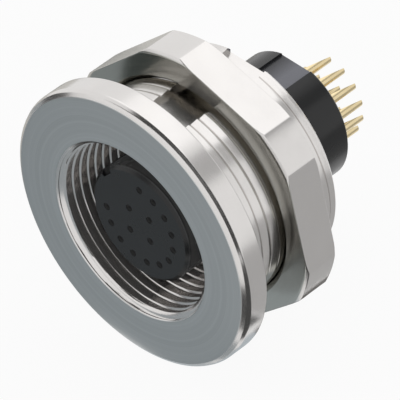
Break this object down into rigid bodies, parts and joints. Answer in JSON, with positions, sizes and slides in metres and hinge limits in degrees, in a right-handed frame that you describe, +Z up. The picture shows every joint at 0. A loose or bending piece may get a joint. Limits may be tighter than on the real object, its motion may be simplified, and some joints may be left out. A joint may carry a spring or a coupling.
{
  "type": "circular panel mount connector",
  "caption": "Round panel-mount socket: flanged threaded shell, hex nut, black contact insert and gold contacts with solder cups.",
  "frame": {"origin": "on the connector's axis, in the plane of the panel seat behind the flange", "axes": "+Y along the axis to the solder cups, so the mating face looks along -Y; +Z up, through the keyway in the barrel"},
  "size_m": [0.0258, 0.0235, 0.0258],
  "materials": {
    "nickel": "bright nickel plating over turned brass, satin on the flange's face",
    "gold": "gold plating over turned brass",
    "black_plastic": "moulded black plastic, slightly glossy",
    "seal_rubber": "moulded rubber"
  },
  "bodies": {
    "socket": {"shell": "nickel", "insert_seal": "seal_rubber", "retaining_ring": "nickel", "front_insulator": "black_plastic", "rear_insulator": "black_plastic", "contact_1": "gold", "contact_2": "gold", "contact_3": "gold", "contact_4": "gold", "contact_5": "gold", "contact_6": "gold", "contact_7": "gold", "contact_8": "gold", "contact_9": "gold", "contact_10": "gold", "contact_11": "gold", "contact_12": "gold", "contact_13": "gold", "contact_14": "gold", "contact_15": "gold", "contact_16": "gold"},
    "nut": {"hex_nut": "nickel"}
  },
  "joints": [
    {"name": "nut_travel", "type": "slide", "parent": "socket", "child": "nut", "axis": [0, 1, 0], "range_m": [-0.0043, 0.0028]}
  ]
}
